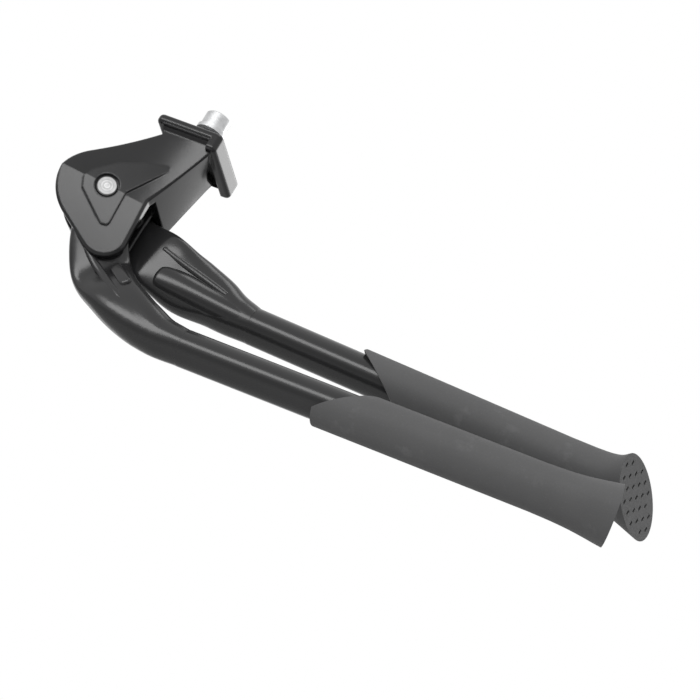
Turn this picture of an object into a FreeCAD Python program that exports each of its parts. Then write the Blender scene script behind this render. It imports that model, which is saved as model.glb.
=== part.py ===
"""Two-legged centre kickstand, parked: cast head, two oblique pins, two forged legs, two feet.

Millimetres. The origin is the middle of the head's top face, on the fixing bolt's axis.
+Z is up, +X is rearward (the way the parked legs point) and -Y is the left side.
"""
import FreeCAD, Part
import math
import os
import Sketcher
from FreeCAD import Placement, Rotation, Vector

os.makedirs("parts", exist_ok=True)
doc = FreeCAD.newDocument("kickstand")
sheet = doc.addObject("Spreadsheet::Sheet", "sizes")

# Driving dimensions: name, value in millimetres or degrees, what it is
SIZES = [
    ("plate_length", 35, "top plate, along X"),
    ("plate_width", 44, "top plate, along Y"),
    ("plate_thick", 5, "top plate at its lips"),
    ("plate_corner", 3, "plan radius of the plate's corners"),
    ("plate_edge", 2, "rounding of the plate's lips"),
    ("flange_depth", 10, "depth of the turned-down rear lip"),
    ("flange_thick", 5, "thickness of the rear lip"),
    ("neck_half", 19, "half width of the head under the plate"),
    ("neck_front", 12, "neck ahead of the bolt axis"),
    ("neck_rear", 14.8, "neck behind the bolt axis"),
    ("neck_drop", 8.8, "neck's foot below the top face"),
    ("cove", 2.4, "cove between plate and neck"),
    ("pin_yaw", 16, "how far each pin is turned from crosswise, degrees"),
    ("deploy_angle", 98, "swing from parked to standing, degrees"),
    ("apex_x", -26.4, "where the two pin axes meet"),
    ("apex_z", -47.4, "height of both pin axes"),
    ("cheek_out", 24, "apex to a cheek's outer face, along its pin"),
    ("cheek_wall", 4.5, "cheek thickness at the pin"),
    ("cheek_taper", 9, "inward slope of the cheeks below the pins, degrees"),
    ("taper_drop", 12, "where the inside of a cheek starts to slope, below the pin"),
    ("brow_x", -21.2, "centre of the head's big round end"),
    ("brow_z", -48.8, "centre of the head's big round end"),
    ("brow_radius", 22.2, "the head's big round end"),
    ("toe_x", -11.6, "centre of the head's lower lobe"),
    ("toe_z", -67.4, "centre of the head's lower lobe"),
    ("toe_radius", 11.4, "the head's lower lobe"),
    ("cheek_edge", 1, "chamfer of the cheeks' outer edges"),
    ("slant_top", 8, "rear wall's right end further forward than its left, at the top"),
    ("slant_foot", 1, "rear wall's right end further forward than its left, at its foot"),
    ("panel_foot", 6, "lower edge of the rear panel above the pins"),
    ("mouth_top", 11, "top of the front mouth above the pins"),
    ("chamber_radius", 20.6, "room round each pin"),
    ("pad_rise", 1, "raised pad round the pin"),
    ("pin_radius", 5, "pivot pin"),
    ("pin_inner", 3, "inner end of a pin from the apex"),
    ("pin_recess", 0.6, "pin's outer end below the pad"),
    ("pin_rim", 0.9, "radial gap round the pin's outer end"),
    ("rim_deep", 1.6, "depth of that gap below the pad"),
    ("hub_radius", 14, "hub ears of a leg"),
    ("hub_inner", 7, "inner ear's face from the apex"),
    ("ear_thick", 3.5, "each ear of a fork"),
    ("fork_gap", 5, "gap between the two ears"),
    ("fork_root", 10.6, "radius of the gap's floor"),
    ("side_play", 0.5, "axial play of a hub in the head"),
    ("running_gap", 0.05, "radial clearance of a running fit"),
    ("teeth", 30, "teeth on a full turn of the timing gear"),
    ("gear_inner", 13.2, "inner pitch radius of the timing gear"),
    ("gear_outer", 18.6, "outer pitch radius of the timing gear"),
    ("gear_lead", 12, "sector before and after its working arc, degrees"),
    ("tooth_rise", 1.05, "tooth above the pitch cone"),
    ("tooth_sink", 1.35, "tooth below the pitch cone"),
    ("backlash", 0.3, "tooth gap more than tooth width"),
    ("tube_radius", 9, "leg tube"),
    ("knee_step", 0.15, "forged knee thinner than the tube it runs into"),
    ("left_knee_x", 52, "where the left leg becomes a straight tube"),
    ("left_tube_y", -10, "left tube, sideways"),
    ("left_tube_z", -105, "left tube, height when parked"),
    ("right_knee_x", 66, "where the right leg becomes a straight tube"),
    ("right_tube_y", 14, "right tube, sideways"),
    ("right_tube_z", -71.25, "right tube, height at its knee when parked"),
    ("right_tube_slope", 2.4, "fall of the right tube to the rear, degrees"),
    ("left_foot_x", 269, "middle of the left sole"),
    ("sleeve_radius", 11.5, "foot sleeve"),
    ("sleeve_gap", 0.1, "radial gap between sleeve and tube"),
    ("sleeve_sole", 9, "solid end of a sleeve"),
    ("left_sleeve_x", 124.5, "tip of the left sleeve"),
    ("right_sleeve_x", 123, "tip of the right sleeve"),
    ("sleeve_cut", 28, "length of a sleeve's slanted mouth"),
    ("sleeve_blunt", 4, "blunt part of a sleeve's tip"),
    ("sole_half_wide", 23, "sole, sideways when standing"),
    ("sole_half_long", 14.6, "sole, lengthwise when standing"),
    ("sole_shift", 3, "sole set outward from the tube"),
    ("sole_flare", 36, "length over which a foot flares"),
    ("dimple_long", 2.6, "dimple in a sole"),
    ("dimple_wide", 1.2, "dimple in a sole"),
    ("dimple_deep", 0.8, "dimple in a sole"),
    ("dimple_step", 6.4, "spacing of the dimples"),
    ("wire_radius", 0.6, "torsion spring wire"),
    ("coil_radius", 7.6, "torsion spring, to the wire's middle"),
    ("spring_turns", 2, "turns of a torsion spring, before its arms are set"),
    ("roof_arm", 19.3, "reach of the spring's arm to the roof, from the pin's axis"),
    ("leg_arm", 13.5, "reach of the spring's arm on the leg, from the pin's axis"),
    ("bolt_radius", 4, "M8 fixing bolt"),
    ("bolt_head_radius", 6.5, "its cylindrical head"),
    ("bolt_head_tall", 8, "its cylindrical head"),
    ("bolt_head_edge", 0.6, "chamfer of its head"),
    ("bolt_reach", 22, "shank below the plate's top face"),
    ("bolt_grip", 9, "space for a frame bracket under the washer"),
    ("hex_across", 6, "socket across flats"),
    ("hex_deep", 4, "socket depth"),
    ("washer_radius", 7.4, "spring washer's outer radius"),
    ("washer_thick", 2, "spring washer"),
]
for row, (name, value, note) in enumerate(SIZES, start=1):
    sheet.set(f"A{row}", name)
    sheet.set(f"B{row}", str(value))
    sheet.set(f"C{row}", note)
    sheet.setAlias(f"B{row}", name)
doc.recompute()


def size(name):
    return float(sheet.get(name))


YAW = math.radians(size("pin_yaw"))
APEX = Vector(size("apex_x"), 0, size("apex_z"))
UP = Vector(0, 0, 1)
SIDEWAYS = Vector(0, 1, 0)
LEFT = -1
RIGHT = 1
OUTLINE_POINTS = 20
KNEE_PARTS = 3
FAR = 80


def outward(side):
    """Unit vector along a side's pin axis, from the apex to the outside."""
    return Vector(math.sin(YAW), side * math.cos(YAW), 0)


def rearward(side):
    """Level unit vector square to the pin axis, pointing to the rear."""
    return Vector(math.cos(YAW), -side * math.sin(YAW), 0)


def hub_point(side, along, rear=0.0, above=0.0):
    """Point at a distance along the pin from the apex, then rearward and up."""
    return APEX + outward(side) * along + rearward(side) * rear + UP * above


def hub_cylinder(side, radius, start, end):
    """Cylinder round a side's pin axis between two distances from the apex."""
    return Part.makeCylinder(radius, end - start, hub_point(side, start), outward(side))


def hub_prism(side, outline, start, end):
    """Extrude (rear, above) corners along the pin axis between two distances."""
    corners = [hub_point(side, start, rear, above) for rear, above in outline]
    face = Part.Face(Part.makePolygon(corners + corners[:1]))
    return face.extrude(outward(side) * (end - start))


def box_between(low, high):
    span = high - low
    return Part.makeBox(span.x, span.y, span.z, low)


def add_shape(name, shape):
    """Put a finished shape into the document under its own label."""
    item = doc.addObject("Part::Feature", name)
    item.Label = name
    item.Shape = shape.removeSplitter()
    return item


def add_body(name):
    body = doc.addObject("PartDesign::Body", name)
    body.Label = name
    return body


def add_sketch(body, name, lift):
    """Sketch on the body's own XY plane, its height bound to the sheet."""
    sketch = body.newObject("Sketcher::SketchObject", name)
    plane = [item for item in body.Origin.OriginFeatures if item.Role == "XY_Plane"][0]
    sketch.AttachmentSupport = [(plane, "")]
    sketch.MapMode = "FlatFace"
    sketch.setExpression("AttachmentOffset.Base.z", lift)
    return sketch


def add_circle(sketch, radius):
    """Circle round the sketch's origin with its radius bound to the sheet."""
    circle = sketch.addGeometry(Part.Circle(Vector(0, 0, 0), UP, 1.0), False)
    sketch.addConstraint(Sketcher.Constraint("Coincident", circle, 3, -1, 1))
    constraint = sketch.addConstraint(Sketcher.Constraint("Radius", circle, 1.0))
    sketch.renameConstraint(constraint, f"radius{circle}")
    sketch.setExpression(f"Constraints.radius{circle}", radius)


def add_pad(body, name, sketch, length, backwards=False):
    pad = body.newObject("PartDesign::Pad", name)
    pad.Profile = sketch
    pad.Reversed = backwards
    pad.setExpression("Length", length)
    doc.recompute()
    return pad


def add_chamfer(body, name, feature, edges, depth):
    chamfer = body.newObject("PartDesign::Chamfer", name)
    chamfer.Base = (feature, edges)
    chamfer.Size = depth
    doc.recompute()
    return chamfer


def circles_at(shape, radius, height):
    """Names of the circular edges of one radius at one height."""
    names = []
    for number, edge in enumerate(shape.Edges, start=1):
        if not isinstance(edge.Curve, Part.Circle):
            continue
        close = abs(edge.Curve.Radius - radius) < 0.01
        if close and abs(edge.Curve.Center.z - height) < 0.01:
            names.append(f"Edge{number}")
    return names


def smooth_wire(centre, axis_a, axis_b, half_a, half_b, power):
    """Closed smooth outline: an ellipse at power 2, a soft rectangle above it."""
    points = []
    for index in range(OUTLINE_POINTS):
        turn = 2 * math.pi * index / OUTLINE_POINTS
        across = math.copysign(abs(math.cos(turn)) ** (2 / power), math.cos(turn))
        along = math.copysign(abs(math.sin(turn)) ** (2 / power), math.sin(turn))
        points.append(centre + axis_a * (half_a * across) + axis_b * (half_b * along))
    curve = Part.BSplineCurve()
    curve.interpolate(Points=points, PeriodicFlag=True)
    return Part.Wire(curve.toShape())


def turned(vector, side, degrees):
    """Turn a vector about a side's hinge; positive lowers a parked leg."""
    return Rotation(outward(side) * side, degrees).multVec(vector)


def standing_height(point, side):
    """Height of a leg's point once the leg stands."""
    return (APEX + turned(point - APEX, side, size("deploy_angle"))).z


# Head


def touch(first, first_radius, second, second_radius, way):
    """Where the common tangent of two circles touches both, on one hand of the way along."""
    reach = second - first
    heading = math.atan2(reach.z, reach.x)
    normal = heading + way * math.acos((first_radius - second_radius) / reach.Length)
    across = Vector(math.cos(normal), 0, math.sin(normal))
    return first + across * first_radius, second + across * second_radius


def head_outline():
    """Side view of the head, without its plate."""
    brow = Vector(size("brow_x"), 0, size("brow_z"))
    toe = Vector(size("toe_x"), 0, size("toe_z"))
    neck = Vector(-size("neck_front"), 0, -size("neck_drop"))
    forehead = touch(neck, 0, brow, size("brow_radius"), -1)[1]
    chin, toe_front = touch(brow, size("brow_radius"), toe, size("toe_radius"), -1)
    toe_rear = toe + Vector(size("toe_radius"), 0, 0)
    panel = Vector(toe_rear.x, 0, size("apex_z") + size("panel_foot") / 2)
    under = -size("plate_thick") / 2
    top_front = Vector(-size("neck_front") - size("cove"), 0, under)
    top_rear = Vector(size("neck_rear"), 0, under)
    neck_rear = Vector(size("neck_rear"), 0, -size("neck_drop") - size("cove"))
    pieces = [
        Part.LineSegment(top_front, neck),
        Part.LineSegment(neck, forehead),
        Part.Arc(forehead, brow - Vector(size("brow_radius"), 0, 0), chin),
        Part.LineSegment(chin, toe_front),
        Part.Arc(toe_front, toe - Vector(0, 0, size("toe_radius")), toe_rear),
        Part.LineSegment(toe_rear, panel),
        Part.LineSegment(panel, neck_rear),
        Part.LineSegment(neck_rear, top_rear),
        Part.LineSegment(top_rear, top_front),
    ]
    return Part.Wire([piece.toShape() for piece in pieces])


def cheek_y(x, drop, along):
    """Half width of a face parallel to the pins' normal plane, sloping in below the pins."""
    level = (along - math.sin(YAW) * (x - APEX.x)) / math.cos(YAW)
    return level - drop * math.tan(math.radians(size("cheek_taper")))


def cross_profile(x):
    """Closed cross-section of the head's outside at one station."""
    under = -size("plate_thick") / 2
    neck = size("neck_half")
    cove = size("cove")
    half = [
        (neck + cove, under),
        (neck + cove, -size("plate_thick")),
        (neck + 0.3 * cove, -size("plate_thick") - 0.3 * cove),
        (neck, -size("plate_thick") - cove),
        (cheek_y(x, 0, size("cheek_out")), size("apex_z")),
        (cheek_y(x, FAR, size("cheek_out")), size("apex_z") - FAR),
    ]
    left = [Vector(x, -y, z) for y, z in half]
    right = [Vector(x, y, z) for y, z in reversed(half)]
    return Part.makePolygon(left + right + left[:1])


def plate():
    """Top plate with its turned-down rear lip."""
    half_x = size("plate_length") / 2
    half_y = size("plate_width") / 2
    top = box_between(Vector(-half_x, -half_y, -size("plate_thick")), Vector(half_x, half_y, 0))
    lip = box_between(
        Vector(half_x - size("flange_thick"), -half_y, -size("flange_depth")),
        Vector(half_x, half_y, 0),
    )
    whole = top.fuse(lip).removeSplitter()
    upright = [edge for edge in whole.Edges if abs(edge.tangentAt(edge.FirstParameter).z) > 0.99]
    outer = [edge for edge in upright if abs(edge.CenterOfMass.y) > half_y - 0.01]
    corners = [edge for edge in outer if abs(abs(edge.CenterOfMass.x) - half_x) < 0.01]
    whole = whole.makeFillet(size("plate_corner"), corners)
    rims = []
    for edge in whole.Edges:
        middle = edge.CenterOfMass
        inner = middle.x < half_x - size("flange_thick") + 0.01 and abs(middle.y) < half_y - 0.01
        low = middle.z < -size("plate_thick") + 0.01
        if edge.BoundBox.ZLength < 0.01 and not (low and inner and middle.x > 1 - half_x):
            rims.append(edge)
    return whole.makeFillet(size("plate_edge"), rims)


def chamber(side):
    """Room inside the head for one hub, open to the front, below and the rear."""
    radius = size("chamber_radius")
    foot = size("panel_foot")
    mouth = size("mouth_top")
    start = size("hub_inner") - size("side_play")
    end = size("cheek_out") - size("cheek_wall")
    room = hub_cylinder(side, radius, start, end)
    rear = math.sqrt(radius ** 2 - foot ** 2)
    front = math.sqrt(radius ** 2 - mouth ** 2)
    below = [(-FAR, mouth), (-front, mouth), (0, 0), (rear, foot), (FAR, foot), (FAR, -FAR), (-FAR, -FAR)]
    room = room.fuse(hub_prism(side, below, start, end))
    slope = math.tan(math.radians(size("cheek_taper")))
    drop = size("taper_drop")
    corners = [
        hub_point(side, end, -FAR, -drop),
        hub_point(side, end + FAR, -FAR, -drop),
        hub_point(side, end + FAR, -FAR, -FAR),
        hub_point(side, end - slope * (FAR - drop), -FAR, -FAR),
    ]
    wedge = Part.Face(Part.makePolygon(corners + corners[:1])).extrude(rearward(side) * 2 * FAR)
    return room.cut(wedge)


def gear_room(side):
    """Ring of room in front of the timing teeth."""
    slope = math.tan(YAW)
    inner = size("gear_inner") - 1
    floor = size("gear_inner") * slope - size("tooth_rise") - size("side_play")
    end = size("hub_inner")
    ring = hub_cylinder(side, size("chamber_radius"), floor, end)
    return ring.cut(hub_cylinder(side, inner, floor - 1, end + 1))


PAD_OUTLINE = [
    (-12.2, -0.9), (-9.9, -6.3), (6.4, -17.9), (9.3, -17.2), (10.0, -15.4),
    (9.6, 1.2), (21.8, 20.8), (21.6, 23.6), (9.8, 19.6), (-1.3, 13.2), (-10.2, 4),
]


def pin_pad(side):
    """Raised boss of a cheek round its pin, in pin coordinates scaled from the pin's size."""
    scale = size("pin_radius") / 5
    outline = [(rear * scale, above * scale) for rear, above in PAD_OUTLINE]
    start = size("cheek_out") - size("cheek_wall") / 2
    return hub_prism(side, outline, start, size("cheek_out") + size("pad_rise"))


def leaning_skin(shift):
    """The head's outside without its plate, moved by a vector."""
    stations = []
    for x in (-FAR, FAR / 3):
        stations.append(cross_profile(x))
    block = Part.makeLoft(stations, True, True)
    block.translate(shift)
    return block


def rear_slant():
    """Solid behind the rear wall, which runs forward from the left cheek to the right one."""
    foot = size("apex_z") + size("panel_foot") / 2
    toe = size("toe_x") + size("toe_radius") + 0.1
    top = -size("plate_thick")
    near = [(size("neck_rear") + 0.1, top), (size("neck_rear") + 0.1, -size("neck_drop") - size("cove")), (toe, foot)]
    far = [(size("neck_rear") - size("slant_top"), top)]
    far += [(size("neck_rear") - size("slant_top") - 1.5, -size("neck_drop") - size("cove"))]
    far += [(toe - size("slant_foot"), foot)]
    wires = []
    for y, edge in ((-size("neck_half"), near), (size("neck_half"), far)):
        points = [Vector(x, y, z) for x, z in edge]
        points += [Vector(toe, y, -FAR), Vector(FAR, y, -FAR), Vector(FAR, y, top)]
        wires.append(Part.makePolygon(points + points[:1]))
    return Part.makeLoft(wires, True, True)


def outer_edges(shape):
    """Edges between a cheek's outer face and the head's outline."""
    edges = []
    for edge in shape.Edges:
        ends = [edge.valueAt(edge.FirstParameter), edge.valueAt(edge.LastParameter)]
        ends.append(edge.CenterOfMass)
        sideways = min(abs(point.y) for point in ends) > size("neck_half") / 2
        below = max(point.z for point in ends) < 0.1 - size("neck_drop")
        crease = max(abs(point.z - size("apex_z")) for point in ends) < 0.01
        if sideways and below and not crease and (ends[0] - ends[1]).Length > 1:
            edges.append(edge)
    return edges


def head():
    """Cast head: plate, two cheeks, roof, rear wall and the web between the hubs."""
    outline = Part.Face(head_outline())
    outline.translate(Vector(0, -FAR / 2, 0))
    prism = outline.extrude(Vector(0, FAR, 0))
    body = prism.common(leaning_skin(Vector(0, 0, 0)))
    body = body.makeChamfer(size("cheek_edge"), outer_edges(body))
    body = body.cut(rear_slant())
    pads = []
    for side in (LEFT, RIGHT):
        raised = leaning_skin(outward(side) * size("pad_rise"))
        pads.append(pin_pad(side).common(raised))
    body = body.fuse(pads)
    body = body.fuse(plate())
    for side in (LEFT, RIGHT):
        body = body.cut(chamber(side))
        body = body.cut(gear_room(side))
        end = size("cheek_out") + size("pad_rise")
        rim = size("pin_radius") + size("pin_rim")
        body = body.cut(hub_cylinder(side, size("pin_radius"), size("pin_inner"), end + 1))
        body = body.cut(hub_cylinder(side, rim, end - size("rim_deep"), end + 2))
    hole = Part.makeCylinder(size("bolt_radius"), size("bolt_reach") + 3, Vector(0, 0, 1), -UP)
    return body.cut(hole)


# Timing gear and hubs


def radial(side, degrees):
    """Unit vector square to the pin at an angle up from the rear."""
    turn = math.radians(degrees)
    return rearward(side) * math.cos(turn) + UP * math.sin(turn)


def tooth_section(side, degrees, radius):
    """Cross-section of one tooth at one pitch radius."""
    scale = radius / size("gear_outer")
    ray = radial(side, degrees)
    along = radial(side, degrees + 90)
    centre = APEX + ray * radius + outward(side) * (radius * math.tan(YAW))
    lift = ray * math.sin(YAW) - outward(side) * math.cos(YAW)
    half = (math.pi * size("gear_outer") / size("teeth") - size("backlash")) / 2 * scale
    rise = size("tooth_rise") * scale
    sink = (size("tooth_sink") + 0.5) * scale
    flank = math.tan(math.radians(20))
    corners = [
        centre + lift * rise + along * (half - rise * flank),
        centre + lift * rise - along * (half - rise * flank),
        centre - lift * sink - along * (half + sink * flank),
        centre - lift * sink + along * (half + sink * flank),
    ]
    return Part.makePolygon(corners + corners[:1])


def timing_gear(side):
    """Bevel sector on the inner ear that keeps both legs at the same angle."""
    slope = math.tan(YAW)
    sink = size("tooth_sink")
    inner = size("gear_inner")
    outer = size("gear_outer")
    back = size("hub_inner") + size("ear_thick")
    start_angle = -size("gear_lead")
    sweep = size("deploy_angle") + 2 * size("gear_lead")
    profile = [
        (inner, inner * slope + sink), (outer, outer * slope + sink),
        (outer, back), (inner - 2, back), (inner - 2, size("hub_inner")), (inner, size("hub_inner")),
    ]
    corners = []
    for radius, along in profile:
        corners.append(APEX + outward(side) * along + radial(side, start_angle) * radius)
    face = Part.Face(Part.makePolygon(corners + corners[:1]))
    turn_axis = rearward(side).cross(UP)
    blank = face.revolve(APEX, turn_axis, sweep)
    pitch = 360 / size("teeth")
    offset = 0 if side == LEFT else pitch / 2
    teeth = []
    angle = offset
    while angle < start_angle + sweep - pitch / 2:
        sections = [tooth_section(side, angle, inner), tooth_section(side, angle, outer)]
        teeth.append(Part.makeLoft(sections, True, True))
        angle += pitch
    return blank.fuse(teeth)


def hub(side, root_degrees):
    """Forked hub round the pin with its gap open away from the leg."""
    inner = size("hub_inner")
    ear = size("ear_thick")
    gap = size("fork_gap")
    disc = hub_cylinder(side, size("hub_radius"), inner, inner + 2 * ear + gap)
    slot = hub_cylinder(side, size("fork_root"), inner + ear, inner + ear + gap)
    mouth = []
    for rear, above in ((0, -FAR), (FAR, -FAR), (FAR, FAR), (0, FAR)):
        turn = math.radians(root_degrees + 180)
        mouth.append((
            rear * math.cos(turn) - above * math.sin(turn),
            rear * math.sin(turn) + above * math.cos(turn),
        ))
    opening = hub_prism(side, mouth, inner + ear, inner + ear + gap)
    return disc, slot.fuse(opening)


# Direction of each leg from its pin, in degrees up from the rear
LEFT_ROOT = -70
RIGHT_ROOT = -25

# Legs: x, y, z of the centreline, half thickness, half width, outline power
LEFT_PATH = [
    (-20.6, -11.2, -55, 4.7, 12.2, 4.0),
    (-15.6, -9.2, -68, 4.2, 13.8, 4.0),
    (-6.6, -6.6, -82.6, 3.8, 14.4, 4.0),
    (5.6, -8.6, -91.4, 6.8, 12.8, 3.4),
    (18.0, -9.6, -97.6, 8.4, 12.0, 3.0),
    (30.0, -10.0, -101.9, 8.9, 11.0, 2.6),
    (41.0, -10.0, -104.4, 9.0, 9.7, 2.2),
]
RIGHT_PATH = [
    (-17.0, 10.2, -51, 4.7, 12.2, 4.0),
    (-4.0, 5.9, -57.5, 4.1, 13.8, 4.0),
    (11.5, 1.6, -62.6, 3.6, 15.2, 4.0),
    (27.0, 8.6, -65.7, 5.8, 15.4, 3.4),
    (42.0, 12.4, -67.0, 8.0, 13.0, 2.8),
    (54.0, 13.7, -69.6, 8.9, 10.6, 2.3),
]


def tube_line(side):
    """Start and direction of a leg's straight tube."""
    if side == LEFT:
        start = Vector(size("left_knee_x"), size("left_tube_y"), size("left_tube_z"))
        return start, Vector(1, 0, 0)
    start = Vector(size("right_knee_x"), size("right_tube_y"), size("right_tube_z"))
    fall = math.radians(size("right_tube_slope"))
    return start, Vector(math.cos(fall), 0, -math.sin(fall))


def tube_end(side):
    """Middle of a foot on its tube's axis; both feet reach one level floor when standing."""
    start, along = tube_line(LEFT)
    left_end = start + along * (size("left_foot_x") - start.x)
    if side == LEFT:
        return left_end
    floor = standing_height(left_end, LEFT)
    start, along = tube_line(RIGHT)
    near = standing_height(start, RIGHT)
    rate = standing_height(start + along, RIGHT) - near
    return start + along * ((floor - near) / rate)


def monotone_slopes(distances, values):
    """Slopes at the stations that let a cubic pass through them without overshoot."""
    steps = []
    for index in range(len(values) - 1):
        run = distances[index + 1] - distances[index]
        steps.append((values[index + 1] - values[index]) / run)
    slopes = [steps[0]]
    for before, after in zip(steps, steps[1:]):
        product = before * after
        slopes.append(2 * product / (before + after) if product > 0 else 0)
    return slopes + [steps[-1]]


def refined(rows, parts):
    """More stations between the given ones, on cubics without overshoot."""
    distances = [0]
    for before, after in zip(rows, rows[1:]):
        step = math.dist(before[:3], after[:3])
        distances.append(distances[-1] + step)
    slopes = [monotone_slopes(distances, column) for column in zip(*rows)]
    finer = []
    for index in range(len(rows) - 1):
        run = distances[index + 1] - distances[index]
        for part in range(parts):
            share = part / parts
            row = []
            for column, slope in enumerate(slopes):
                first = rows[index][column]
                last = rows[index + 1][column]
                bend = (1 - share) * slope[index] - share * slope[index + 1]
                lean = (last - first) / run * (1 - 2 * share)
                row.append(first + (last - first) * share + share * (1 - share) * run * (bend - lean))
            finer.append(row)
    return finer + [list(rows[-1])]


def leg_sections(side):
    """Smooth outlines from the hub through the flattened knee into the round tube."""
    start, along = tube_line(side)
    radius = size("tube_radius") - size("knee_step")
    path = list(LEFT_PATH if side == LEFT else RIGHT_PATH)
    path.append((start.x, start.y, start.z, radius, radius, 2))
    rows = refined(path, KNEE_PARTS)
    last = start + along * 4
    rows.append([last.x, last.y, last.z, radius, radius, 2])
    centres = [Vector(*row[:3]) for row in rows]
    wires = []
    for index, row in enumerate(rows):
        ahead = centres[min(index + 1, len(rows) - 1)]
        behind = centres[max(index - 1, 0)]
        tangent = ahead - behind
        if index >= len(rows) - 2:
            tangent = Vector(along)
        tangent.normalize()
        share = min(index / (len(rows) - 2), 1)
        through = outward(side) * (1 - share) + Vector(0, side, 0) * share
        through = through - tangent * through.dot(tangent)
        through.normalize()
        upright = tangent.cross(through) * side
        wires.append(smooth_wire(centres[index], through, upright, row[3], row[4], row[5]))
    return wires


def leg(side, root_degrees):
    """Forged leg: forked hub with timing teeth, flattened knee and round tube."""
    disc, slot = hub(side, root_degrees)
    knee = Part.makeLoft(leg_sections(side), True, False)
    start, along = tube_line(side)
    reach = (tube_end(side) - start).dot(along) - size("sleeve_sole")
    tube = Part.makeCylinder(size("tube_radius"), reach, start, along)
    body = disc.fuse([knee, tube])
    body = body.cut(slot)
    body = body.fuse(timing_gear(side))
    inner = size("hub_inner")
    end = inner + 2 * size("ear_thick") + size("fork_gap")
    bore = hub_cylinder(side, size("pin_radius") + size("running_gap"), 0, end + 5)
    return body.cut(bore)


# Feet


def sole_axes(side):
    """Sideways, lengthwise and facing directions of a parked foot's sole."""
    back = -size("deploy_angle")
    sideways = turned(SIDEWAYS, side, back)
    facing = turned(-UP, side, back)
    return sideways, facing.cross(sideways), facing


def foot(side):
    """Moulded sleeve over the tube's end, flaring into an oval dimpled sole."""
    start, along = tube_line(side)
    middle = tube_end(side)
    sideways, lengthwise, facing = sole_axes(side)
    tip = Vector(size("left_sleeve_x" if side == LEFT else "right_sleeve_x"), 0, 0)
    mouth = start + along * ((tip.x - start.x) / along.x)
    radius = size("sleeve_radius")
    neck = middle - along * size("sole_flare")
    through = Vector(0, side, 0)
    upright = along.cross(through) * side
    shift = sideways * (size("sole_shift") * side)
    wires = [smooth_wire(neck, through, upright, radius, radius, 2)]
    barrel = Part.Face(wires[0]).extrude(mouth - neck)
    for share, grow in ((0.35, 0.1), (0.7, 0.42), (0.93, 0.86)):
        centre = neck + (middle - neck) * share + shift * grow
        axis_a = through * (1 - grow) + sideways * side * grow
        axis_b = upright * (1 - grow) + lengthwise * (grow * math.copysign(1, upright.dot(lengthwise)))
        axis_a.normalize()
        axis_b.normalize()
        half_a = radius + (size("sole_half_wide") - radius) * grow
        half_b = radius + (size("sole_half_long") - radius) * grow
        wires.append(smooth_wire(centre, axis_a, axis_b, half_a, half_b, 2))
    last = lengthwise * math.copysign(1, upright.dot(lengthwise))
    wires.append(smooth_wire(
        middle + shift, sideways * side, last,
        size("sole_half_wide"), size("sole_half_long"), 2,
    ))
    body = barrel.fuse(Part.makeLoft(wires, True, False))
    bore_radius = size("tube_radius") + size("sleeve_gap")
    depth = (middle - mouth).dot(along) - size("sleeve_sole")
    body = body.cut(Part.makeCylinder(bore_radius, depth + 1, mouth - along, along))
    return body.cut(mouth_cut(side, mouth, along)).cut(dimples(side, middle + shift))


def mouth_cut(side, mouth, along):
    """Prism that slants a sleeve's mouth back from its blunt tip."""
    radius = size("sleeve_radius") + 1
    tip_way = -1 if side == LEFT else 1
    upright = Vector(-along.z, 0, along.x) * tip_way
    blunt = size("sleeve_blunt")
    corners = [
        mouth + upright * (radius - 1 - blunt) - along * 1,
        mouth + upright * (radius - 1 - blunt),
        mouth - upright * radius + along * size("sleeve_cut"),
        mouth - upright * radius - along * 1,
    ]
    corners = [corner - SIDEWAYS * FAR / 2 for corner in corners]
    face = Part.Face(Part.makePolygon(corners + corners[:1]))
    return face.extrude(SIDEWAYS * FAR)


def dimples(side, centre):
    """Small slots in a sole, in staggered rows."""
    sideways, lengthwise, facing = sole_axes(side)
    step = size("dimple_step")
    slots = []
    for row in range(-2, 3):
        for column in range(-4, 5):
            across = (column + 0.5 * (row % 2)) * step
            along = row * step * 0.8
            inside = (across / (size("sole_half_wide") - 3)) ** 2
            inside += (along / (size("sole_half_long") - 2)) ** 2
            if inside > 1:
                continue
            spot = centre + sideways * across + lengthwise * along
            slots.append(slot_at(spot, sideways, lengthwise, facing))
    return Part.makeCompound(slots)


def slot_at(spot, sideways, lengthwise, facing):
    """Short box with its middle at a spot on the sole."""
    half_long = size("dimple_long") / 2
    half_wide = size("dimple_wide") / 2
    deep = size("dimple_deep")
    corners = []
    for across, along in ((-1, -1), (1, -1), (1, 1), (-1, 1)):
        corner = spot + sideways * (across * half_wide) + lengthwise * (along * half_long)
        corners.append(corner - facing * deep)
    face = Part.Face(Part.makePolygon(corners + corners[:1]))
    return face.extrude(facing * (deep + 1))


# Small parts


def pin(side, name):
    """Pivot pin pressed into the web and the cheek."""
    body = add_body(name)
    body.Placement = Placement(APEX, Rotation(UP, outward(side)))
    sketch = add_sketch(body, f"{name}_circle", "sizes.pin_inner")
    add_circle(sketch, "sizes.pin_radius")
    length = "sizes.cheek_out + sizes.pad_rise - sizes.pin_recess - sizes.pin_inner"
    pad = add_pad(body, f"{name}_rod", sketch, length)
    end = size("cheek_out") + size("pad_rise") - size("pin_recess")
    edges = circles_at(pad.Shape, size("pin_radius"), end)
    edges += circles_at(pad.Shape, size("pin_radius"), size("pin_inner"))
    add_chamfer(body, f"{name}_ends", pad, edges, 0.5)
    return body


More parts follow.
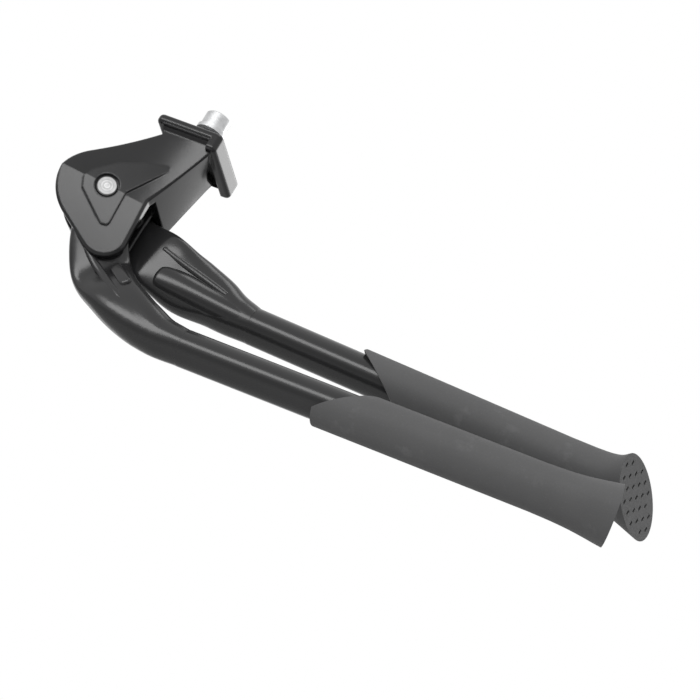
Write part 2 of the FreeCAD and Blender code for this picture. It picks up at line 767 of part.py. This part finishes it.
def fixing_bolt():
    """Socket-head bolt that clamps a frame bracket onto the plate."""
    body = add_body("fixing_bolt")
    seat = "sizes.bolt_grip + sizes.washer_thick"
    shank_sketch = add_sketch(body, "shank_circle", seat)
    add_circle(shank_sketch, "sizes.bolt_radius")
    add_pad(body, "shank", shank_sketch, f"sizes.bolt_reach + {seat}", True)
    head_sketch = add_sketch(body, "head_circle", seat)
    add_circle(head_sketch, "sizes.bolt_head_radius")
    cap = add_pad(body, "cap", head_sketch, "sizes.bolt_head_tall")
    top = size("bolt_grip") + size("washer_thick") + size("bolt_head_tall")
    rim = circles_at(cap.Shape, size("bolt_head_radius"), top)
    add_chamfer(body, "cap_edge", cap, rim, size("bolt_head_edge"))
    socket_sketch = add_sketch(body, "socket_hexagon", f"{seat} + sizes.bolt_head_tall")
    corner = size("hex_across") / math.sqrt(3)
    corners = []
    for index in range(6):
        turn = math.radians(60 * index)
        corners.append(Vector(corner * math.cos(turn), corner * math.sin(turn), 0))
    for index in range(6):
        line = Part.LineSegment(corners[index], corners[(index + 1) % 6])
        socket_sketch.addGeometry(line, False)
    socket = body.newObject("PartDesign::Pocket", "socket")
    socket.Profile = socket_sketch
    socket.setExpression("Length", "sizes.hex_deep")
    doc.recompute()
    return body


def spring_washer():
    """Washer under the bolt's head."""
    body = add_body("washer")
    sketch = add_sketch(body, "washer_ring", "sizes.bolt_grip")
    add_circle(sketch, "sizes.washer_radius")
    add_circle(sketch, "sizes.bolt_radius + 0.2")
    add_pad(body, "washer_plate", sketch, "sizes.washer_thick")
    return body


def torsion_spring(side, root_degrees, roof_degrees):
    """Coil round the pin in the fork's gap, with one arm on the leg and one up to the roof."""
    wire = size("wire_radius")
    radius = size("coil_radius")
    play = (size("fork_gap") - 2 * wire) / 7
    length = size("fork_gap") - 2 * wire - 2 * play
    start = size("hub_inner") + size("ear_thick") + wire + play
    roof_lean = math.degrees(math.acos(radius / size("roof_arm")))
    leg_lean = math.degrees(math.acos(radius / size("leg_arm")))
    first = roof_degrees + roof_lean
    last = root_degrees + 270 - math.degrees((wire + play) / size("leg_arm")) - leg_lean
    turns = size("spring_turns") + (last - first) / 360
    helix = Part.makeHelix(length / turns, length, radius)
    helix.Placement = Placement(Vector(0, 0, start), Rotation(UP, first))
    curve = helix.Edges[0]
    begin = curve.valueAt(curve.FirstParameter)
    heading = curve.tangentAt(curve.FirstParameter)
    end = curve.valueAt(curve.LastParameter)
    leaving = curve.tangentAt(curve.LastParameter)
    circle = Part.Wire(Part.makeCircle(wire, begin, heading))
    coil = Part.Wire(helix).makePipeShell([circle], True, True)
    roof_length = radius * math.tan(math.radians(roof_lean))
    leg_length = radius * math.tan(math.radians(leg_lean))
    arms = [
        Part.makeCylinder(wire, roof_length, begin, -heading),
        Part.makeCylinder(wire, leg_length, end, leaving),
    ]
    whole = coil.fuse(arms)
    whole.rotate(Vector(0, 0, 0), Vector(1, 0, 0), 90)
    whole.rotate(Vector(0, 0, 0), UP, size("pin_yaw"))
    whole.translate(APEX)
    if side == RIGHT:
        whole = whole.mirror(Vector(0, 0, 0), SIDEWAYS)
    return whole


add_shape("head", head())
add_shape("left_leg", leg(LEFT, LEFT_ROOT))
add_shape("right_leg", leg(RIGHT, RIGHT_ROOT))
add_shape("left_foot_sleeve", foot(LEFT))
add_shape("right_foot_sleeve", foot(RIGHT))
add_shape("left_spring", torsion_spring(LEFT, LEFT_ROOT, 45))
add_shape("right_spring", torsion_spring(RIGHT, RIGHT_ROOT, 100))
pin(LEFT, "left_pin")
pin(RIGHT, "right_pin")
fixing_bolt()
spring_washer()
doc.recompute()

for item in doc.Objects:
    if "Invalid" in item.State or "Error" in item.State:
        raise RuntimeError(f"{item.Name} did not compute")
NODES = [
    "head", "left_leg", "right_leg", "left_foot_sleeve", "right_foot_sleeve", "left_spring",
    "right_spring", "left_pin", "right_pin", "fixing_bolt", "washer",
]
for label in NODES:
    item = doc.getObjectsByLabel(label)[0]
    if item.Shape.isNull() or not item.Shape.isValid():
        raise RuntimeError(f"{label} has no valid shape")
    item.Shape.exportStep(f"parts/{label}.step")
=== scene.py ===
"""Looks of the parked two-leg kickstand: black powder coat, grey moulded feet, bright steel.

Metres, in the frame of the solids: the origin is the middle of the head's top face.
"""
import math

import bpy
from mathutils import Matrix, Vector


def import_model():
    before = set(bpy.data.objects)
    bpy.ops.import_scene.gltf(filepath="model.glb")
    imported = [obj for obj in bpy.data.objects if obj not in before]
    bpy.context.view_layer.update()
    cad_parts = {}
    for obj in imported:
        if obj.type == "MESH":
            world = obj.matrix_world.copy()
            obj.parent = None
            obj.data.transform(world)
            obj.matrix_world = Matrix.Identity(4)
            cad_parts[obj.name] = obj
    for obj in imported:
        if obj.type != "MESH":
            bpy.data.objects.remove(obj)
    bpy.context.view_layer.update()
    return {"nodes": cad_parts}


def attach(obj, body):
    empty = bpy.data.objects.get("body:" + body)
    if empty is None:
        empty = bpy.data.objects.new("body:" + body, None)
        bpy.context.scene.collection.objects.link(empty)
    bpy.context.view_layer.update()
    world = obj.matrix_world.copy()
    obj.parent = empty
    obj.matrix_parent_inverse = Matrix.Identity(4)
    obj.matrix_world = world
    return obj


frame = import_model()
nodes = frame["nodes"]

# The pivot pins' axes meet at the apex, each turned by the yaw from crosswise
PIN_APEX = (-0.0264, 0.0, -0.0474)
PIN_YAW = math.radians(16)

# Node helpers: noise scales are in waves per metre


def grey(level, blue=None):
    """Neutral colour, with its blue channel a little apart where one is given."""
    return (level, level, level if blue is None else blue, 1)


def new_material(name):
    material = bpy.data.materials.new(name)
    material.use_nodes = True
    tree = material.node_tree
    shader = tree.nodes["Principled BSDF"]
    return material, tree, shader


def add_node(tree, kind, **settings):
    """New node; capitalised settings are input sockets, with _ for a space."""
    node = tree.nodes.new(kind)
    for key, value in settings.items():
        if key[0].isupper():
            node.inputs[key.replace("_", " ")].default_value = value
        else:
            setattr(node, key, value)
    return node


def object_point(tree):
    return add_node(tree, "ShaderNodeTexCoord").outputs["Object"]


def vector_maths(tree, operation, first, second):
    """Vector Math node's sockets; the second operand is a socket or a constant."""
    node = add_node(tree, "ShaderNodeVectorMath", operation=operation)
    tree.links.new(first, node.inputs[0])
    if isinstance(second, bpy.types.NodeSocket):
        tree.links.new(second, node.inputs[1])
    else:
        node.inputs[1].default_value = second
    return node.outputs["Vector"]


def noise(tree, point, scale, detail, roughness=0.55):
    node = add_node(tree, "ShaderNodeTexNoise", Scale=scale, Detail=detail, Roughness=roughness)
    tree.links.new(point, node.inputs["Vector"])
    return node.outputs["Fac"]


def remap(tree, value, span, result):
    """Value carried from one span of numbers to another, and held at its ends."""
    node = add_node(tree, "ShaderNodeMapRange", From_Min=span[0], From_Max=span[1])
    node.inputs["To Min"].default_value, node.inputs["To Max"].default_value = result
    node.clamp = True
    tree.links.new(value, node.inputs["Value"])
    return node.outputs["Result"]


def blend_colours(tree, factor, first, second):
    node = add_node(tree, "ShaderNodeMix", data_type="RGBA")
    tree.links.new(factor, node.inputs["Factor"])
    for socket, colour in ((node.inputs[6], first), (node.inputs[7], second)):
        if isinstance(colour, bpy.types.NodeSocket):
            tree.links.new(colour, socket)
        else:
            socket.default_value = colour
    return node.outputs[2]


def bump(tree, height, distance, strength, under=None):
    node = add_node(tree, "ShaderNodeBump", Strength=strength, Distance=distance)
    tree.links.new(height, node.inputs["Height"])
    if under is not None:
        tree.links.new(under, node.inputs["Normal"])
    return node.outputs["Normal"]


def worn_edges(tree, point, amount):
    """Broken-up wear on sharp outer edges, 0 elsewhere."""
    geometry = add_node(tree, "ShaderNodeNewGeometry")
    edges = remap(tree, geometry.outputs["Pointiness"], (0.6, 0.7), (0.0, 1.0))
    patches = remap(tree, noise(tree, point, scale=260.0, detail=4.0), (0.45, 0.7), (0.0, amount))
    product = add_node(tree, "ShaderNodeMath", operation="MULTIPLY")
    tree.links.new(edges, product.inputs[0])
    tree.links.new(patches, product.inputs[1])
    return product.outputs[0]


# Materials


def powder_coat(name, base, lift):
    """Satin black powder coat: rounded edges, fine orange peel, faint dust, rubbed edges."""
    material, tree, shader = new_material(name)
    point = object_point(tree)
    cloud = noise(tree, point, scale=38.0, detail=4.0)
    grain = noise(tree, point, scale=2600.0, detail=2.0)
    peel = noise(tree, point, scale=900.0, detail=2.0)
    smudge = noise(tree, point, scale=70.0, detail=5.0)
    colour = blend_colours(tree, remap(tree, cloud, (0.35, 0.7), (0.0, 1.0)), base, lift)
    dust = remap(tree, grain, (0.68, 0.8), (0.0, 0.15))
    colour = blend_colours(tree, dust, colour, grey(0.11, 0.112))
    worn = worn_edges(tree, point, amount=0.35)
    colour = blend_colours(tree, worn, colour, grey(0.16, 0.165))
    tree.links.new(colour, shader.inputs["Base Color"])
    tree.links.new(remap(tree, smudge, (0.3, 0.75), (0.18, 0.2)), shader.inputs["Roughness"])
    shader.inputs["Specular IOR Level"].default_value = 0.38
    rounded = add_node(tree, "ShaderNodeBevel", samples=6, Radius=0.0011)
    normal = bump(tree, peel, distance=0.00002, strength=0.3, under=rounded.outputs["Normal"])
    normal = bump(tree, grain, distance=0.00001, strength=0.25, under=normal)
    tree.links.new(normal, shader.inputs["Normal"])
    return material


def moulded_plastic(name, base, lift):
    """Matte moulded plastic with a fine spark-eroded grain, faint pale specks and scuffs."""
    material, tree, shader = new_material(name)
    point = object_point(tree)
    cloud = noise(tree, point, scale=30.0, detail=5.0)
    grain = noise(tree, point, scale=1500.0, detail=2.0)
    speck = noise(tree, point, scale=1900.0, detail=0.0)
    scuff = noise(tree, point, scale=75.0, detail=5.0, roughness=0.65)
    pale = grey(0.15, 0.152)
    colour = blend_colours(tree, remap(tree, cloud, (0.3, 0.75), (0.0, 1.0)), base, lift)
    colour = blend_colours(tree, remap(tree, speck, (0.76, 0.84), (0.0, 0.35)), colour, pale)
    colour = blend_colours(tree, remap(tree, scuff, (0.6, 0.72), (0.0, 0.35)), colour, pale)
    tree.links.new(colour, shader.inputs["Base Color"])
    tree.links.new(remap(tree, grain, (0.3, 0.7), (0.6, 0.76)), shader.inputs["Roughness"])
    shader.inputs["Specular IOR Level"].default_value = 0.3
    normal = bump(tree, grain, distance=0.00005, strength=0.6)
    tree.links.new(normal, shader.inputs["Normal"])
    return material


def darkened(colour, share):
    return tuple(share * channel for channel in colour[:3]) + (1,)


def turned_steel(name, colour, squash, roughness):
    """Bright steel with fine lathe marks, their pattern squashed along the axes."""
    material, tree, shader = new_material(name)
    point = object_point(tree)
    marks = noise(tree, vector_maths(tree, "MULTIPLY", point, squash), scale=900.0, detail=3.0)
    stain = noise(tree, point, scale=320.0, detail=4.0)
    stained = remap(tree, stain, (0.42, 0.72), (0.0, 0.8))
    colour = blend_colours(tree, stained, colour, darkened(colour, 0.72))
    tree.links.new(colour, shader.inputs["Base Color"])
    shader.inputs["Metallic"].default_value = 1.0
    tree.links.new(remap(tree, marks, (0.3, 0.7), roughness), shader.inputs["Roughness"])
    normal = bump(tree, marks, distance=0.00001, strength=0.6)
    tree.links.new(normal, shader.inputs["Normal"])
    return material


def faced_steel(name, colour, yaw):
    """Pivot pin's steel: rings left by facing its end in a lathe, round an axis turned by yaw."""
    material, tree, shader = new_material(name)
    point = object_point(tree)
    offset = vector_maths(tree, "SUBTRACT", point, PIN_APEX)
    along = vector_maths(tree, "PROJECT", offset, (math.sin(yaw), -math.cos(yaw), 0.0))
    radius = add_node(tree, "ShaderNodeVectorMath", operation="LENGTH")
    tree.links.new(vector_maths(tree, "SUBTRACT", offset, along), radius.inputs[0])
    rings = noise(tree, radius.outputs["Value"], scale=1400.0, detail=2.0)
    stain = noise(tree, point, scale=320.0, detail=4.0)
    darker = darkened(colour, 0.5)
    colour = blend_colours(tree, remap(tree, rings, (0.4, 0.6), (0.0, 1.0)), colour, darker)
    colour = blend_colours(tree, remap(tree, stain, (0.5, 0.75), (0.0, 0.7)), colour, darker)
    tree.links.new(colour, shader.inputs["Base Color"])
    shader.inputs["Metallic"].default_value = 1.0
    tree.links.new(remap(tree, rings, (0.35, 0.65), (0.4, 0.58)), shader.inputs["Roughness"])
    normal = bump(tree, rings, distance=0.00005, strength=0.7)
    tree.links.new(normal, shader.inputs["Normal"])
    return material


COAT_HEAD = powder_coat("black_cast", base=grey(0.0085, 0.009), lift=grey(0.01, 0.0105))
COAT_LEG = powder_coat("black_leg", base=grey(0.02, 0.0205), lift=grey(0.022, 0.0225))
PLASTIC = moulded_plastic("foot_plastic", base=grey(0.084, 0.085), lift=grey(0.094, 0.095))
LEFT_PIN_STEEL = faced_steel("left_pin_steel", grey(0.42), PIN_YAW)
RIGHT_PIN_STEEL = faced_steel("right_pin_steel", grey(0.42), -PIN_YAW)
ZINC = turned_steel("bolt_zinc", (0.52, 0.525, 0.53, 1), squash=(0.1, 0.1, 3.0), roughness=(0.3, 0.4))
SPRING = turned_steel("spring_steel", grey(0.5, 0.51), squash=(1.0, 1.0, 1.0), roughness=(0.25, 0.4))

FINISHES = {
    "head": (COAT_HEAD, "black_cast"),
    "left_leg": (COAT_LEG, "black_leg"),
    "right_leg": (COAT_LEG, "black_leg"),
    "left_foot_sleeve": (PLASTIC, "foot_plastic"),
    "right_foot_sleeve": (PLASTIC, "foot_plastic"),
    "left_pin": (LEFT_PIN_STEEL, "pin_steel"),
    "right_pin": (RIGHT_PIN_STEEL, "pin_steel"),
    "fixing_bolt": (ZINC, "bolt_zinc"),
    "washer": (ZINC, "bolt_zinc"),
    "left_spring": (SPRING, "spring_steel"),
    "right_spring": (SPRING, "spring_steel"),
}
for node_name, (material, slot_name) in FINISHES.items():
    node = nodes[node_name]
    node.data.materials.clear()
    node.data.materials.append(material)

# Forged forms over the knees, in millimetres, each row one outline of the form:
# x, y and z of its middle, half its width, half its height, and 2 for an oval or more for a box
RIGHT_SWELL = [
    (17.0, 4.2, -70.0, 6.2, 7.6, 2.5),
    (24.0, 6.0, -69.8, 7.0, 8.2, 2.3),
    (34.0, 9.4, -69.9, 8.1, 8.7, 2.1),
    (46.0, 12.4, -70.4, 8.8, 8.8, 2.0),
    (60.0, 13.9, -71.1, 8.85, 8.85, 2.0),
    (74.0, 14.0, -71.2, 8.6, 8.6, 2.0),
]
RIGHT_CREST = [
    (12.8, -1.6, -57.4, 1.1, 1.6, 2.2),
    (19.8, -0.1, -59.2, 1.3, 1.9, 2.2),
    (26.5, 2.6, -60.0, 1.4, 2.0, 2.2),
    (34.0, 4.4, -61.2, 1.4, 2.0, 2.2),
    (42.5, 5.1, -63.2, 1.3, 1.9, 2.2),
    (49.0, 5.6, -64.8, 1.1, 1.6, 2.2),
]
LEFT_CREST = [
    (-17.0, -12.4, -76.5, 1.2, 1.8, 2.2),
    (-10.0, -11.2, -81.6, 1.4, 2.0, 2.2),
    (-1.5, -12.2, -86.8, 1.5, 2.1, 2.2),
    (5.8, -14.7, -91.4, 1.5, 2.1, 2.2),
    (13.0, -16.2, -95.4, 1.3, 1.9, 2.2),
    (20.0, -17.0, -99.6, 1.1, 1.6, 2.2),
]
LEFT_RIB = [
    (0.5, -10.6, -79.8, 2.0, 3.0, 3.0),
    (5.5, -12.6, -83.0, 2.2, 3.1, 3.0),
    (11.5, -15.0, -87.0, 2.0, 3.0, 3.0),
]
MM = 0.001
RING_POINTS = 20
TIP_REACH = 0.8
TIP_DEGREES = (30, 55, 75)
SMOOTH_LEVELS = 2


def ring(centre, tangent, half_across, half_up, power):
    """Closed rounded outline square to a direction, its width as level as can be."""
    across = Vector((0, 1, 0))
    across = (across - tangent * across.dot(tangent)).normalized()
    up = tangent.cross(across)
    points = []
    for index in range(RING_POINTS):
        angle = 2 * math.pi * index / RING_POINTS
        cosine = math.cos(angle)
        sine = math.sin(angle)
        side = math.copysign(abs(cosine) ** (2 / power), cosine) * half_across
        rise = math.copysign(abs(sine) ** (2 / power), sine) * half_up
        points.append(centre + across * side + up * rise)
    return points


def outlines_with_tips(rows):
    """Rows as outlines along their own path, with a rounded tip at each end."""
    centres = [Vector(row[:3]) for row in rows]
    outlines = []
    for index, row in enumerate(rows):
        tangent = centres[min(index + 1, len(rows) - 1)] - centres[max(index - 1, 0)]
        outlines.append((centres[index], tangent.normalized(), *row[3:]))
    for end, way in ((0, -1), (-1, 1)):
        centre, tangent, half_across, half_up, power = outlines[end]
        reach = TIP_REACH * min(half_across, half_up)
        for degrees in TIP_DEGREES:
            turn = math.radians(degrees)
            tip = centre + tangent * (way * reach * math.sin(turn))
            shrunk = (tip, tangent, half_across * math.cos(turn), half_up * math.cos(turn), power)
            outlines.insert(0 if way < 0 else len(outlines), shrunk)
    return outlines


def skin(count):
    """Faces that join the rings one after another and close both ends."""
    faces = []
    for row in range(count - 1):
        low = row * RING_POINTS
        for index in range(RING_POINTS):
            after = (index + 1) % RING_POINTS
            high = low + RING_POINTS
            faces.append((low + index, low + after, high + after, high + index))
    last = (count - 1) * RING_POINTS
    faces.append(tuple(reversed(range(RING_POINTS))))
    faces.append(tuple(last + index for index in range(RING_POINTS)))
    return faces


def add_object(name, data):
    piece = bpy.data.objects.new(name, data)
    bpy.context.scene.collection.objects.link(piece)
    return piece


def swelling(name, rows, body):
    """Smooth round-ended bulge along a row of outlines, half sunk in a leg."""
    outlines = outlines_with_tips(rows)
    points = [point * MM for outline in outlines for point in ring(*outline)]
    mesh = bpy.data.meshes.new(name)
    mesh.from_pydata(points, [], skin(len(outlines)))
    mesh.validate()
    for polygon in mesh.polygons:
        polygon.use_smooth = True
    mesh.materials.append(COAT_LEG)
    piece = add_object(name, mesh)
    smooth = piece.modifiers.new("smooth", "SUBSURF")
    smooth.levels = SMOOTH_LEVELS
    smooth.render_levels = SMOOTH_LEVELS
    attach(piece, body)


swelling("right_knee_swell", RIGHT_SWELL, "right_leg")
swelling("right_knee_crest", RIGHT_CREST, "right_leg")
swelling("left_knee_crest", LEFT_CREST, "left_leg")
swelling("left_knee_rib", LEFT_RIB, "left_leg")

# Floor, world, camera and lamps
FLOOR_HALF = 6.0
FLOOR_LEVEL = -0.95
SOFT_LIGHT = 0.42
WHITE_LIGHT = 1.0
SENSOR_MM = 36.0
PHOTO_PIXELS = 700
FOCAL_PIXELS = 3120
CLIP_END = 20
LOOK = Vector((-0.345, 0.853, 0.391)).normalized()
TILT = Vector((-0.337, -0.501, 0.797))
UPWARD = (TILT - LOOK * TILT.dot(LOOK)).normalized()
RIGHTWARD = LOOK.cross(UPWARD)
CAMERA_PLACE = Vector((0.613227, -1.220939, -0.630721))
LAMP_AIM = Vector((0.09, 0.0, -0.06))
LAMP_DISTANCE = 1.3


def floor():
    corners = [
        (-FLOOR_HALF, -FLOOR_HALF, FLOOR_LEVEL),
        (FLOOR_HALF, -FLOOR_HALF, FLOOR_LEVEL),
        (FLOOR_HALF, FLOOR_HALF, FLOOR_LEVEL),
        (-FLOOR_HALF, FLOOR_HALF, FLOOR_LEVEL),
    ]
    mesh = bpy.data.meshes.new("floor")
    mesh.from_pydata(corners, [], [(0, 1, 2, 3)])
    material, tree, shader = new_material("pale_floor")
    shader.inputs["Base Color"].default_value = grey(0.94)
    shader.inputs["Roughness"].default_value = 0.8
    mesh.materials.append(material)
    piece = add_object("floor", mesh)


def world():
    """Soft even light, and plain white wherever the camera, gloss or glass looks at it."""
    background = bpy.data.worlds.new("studio")
    background.use_nodes = True
    tree = background.node_tree
    tree.nodes.clear()
    output = add_node(tree, "ShaderNodeOutputWorld")
    soft = add_node(tree, "ShaderNodeBackground", Color=grey(1.0), Strength=SOFT_LIGHT)
    white = add_node(tree, "ShaderNodeBackground", Color=grey(1.0), Strength=WHITE_LIGHT)
    paths = add_node(tree, "ShaderNodeLightPath")
    seen = paths.outputs["Is Camera Ray"]
    for ray in ("Is Glossy Ray", "Is Transmission Ray"):
        either = add_node(tree, "ShaderNodeMath", operation="MAXIMUM")
        tree.links.new(seen, either.inputs[0])
        tree.links.new(paths.outputs[ray], either.inputs[1])
        seen = either.outputs[0]
    mix = add_node(tree, "ShaderNodeMixShader")
    tree.links.new(seen, mix.inputs[0])
    tree.links.new(soft.outputs[0], mix.inputs[1])
    tree.links.new(white.outputs[0], mix.inputs[2])
    tree.links.new(mix.outputs[0], output.inputs[0])
    bpy.context.scene.world = background


def camera():
    """The photograph's view, as fitted to the object."""
    data = bpy.data.cameras.new("camera")
    data.sensor_width = SENSOR_MM
    data.lens = FOCAL_PIXELS / PHOTO_PIXELS * SENSOR_MM
    data.clip_end = CLIP_END
    piece = add_object("camera", data)
    turn = Matrix((RIGHTWARD, UPWARD, -LOOK)).transposed().to_4x4()
    piece.matrix_world = Matrix.Translation(CAMERA_PLACE) @ turn
    bpy.context.scene.camera = piece


def softbox(name, direction, width, height, power):
    """Area lamp in a direction from the object's middle, facing it, its width level."""
    data = bpy.data.lights.new(name, "AREA")
    data.shape = "RECTANGLE"
    data.size = width
    data.size_y = height
    data.energy = power
    piece = add_object(name, data)
    offset = Vector(direction).normalized() * LAMP_DISTANCE
    aim = (-offset).to_track_quat("-Z", "Y").to_matrix().to_4x4()
    piece.matrix_world = Matrix.Translation(LAMP_AIM + offset) @ aim


floor()
world()
camera()
softbox("front", (-0.26, -0.96, 0.21), width=1.7, height=0.36, power=12)
softbox("back", (0.37, 0.76, 0.51), width=0.8, height=0.6, power=4.5)
softbox("top", (0.1, -0.35, 1.0), width=0.8, height=0.5, power=4)

scene = bpy.context.scene
scene.view_settings.view_transform = "Standard"
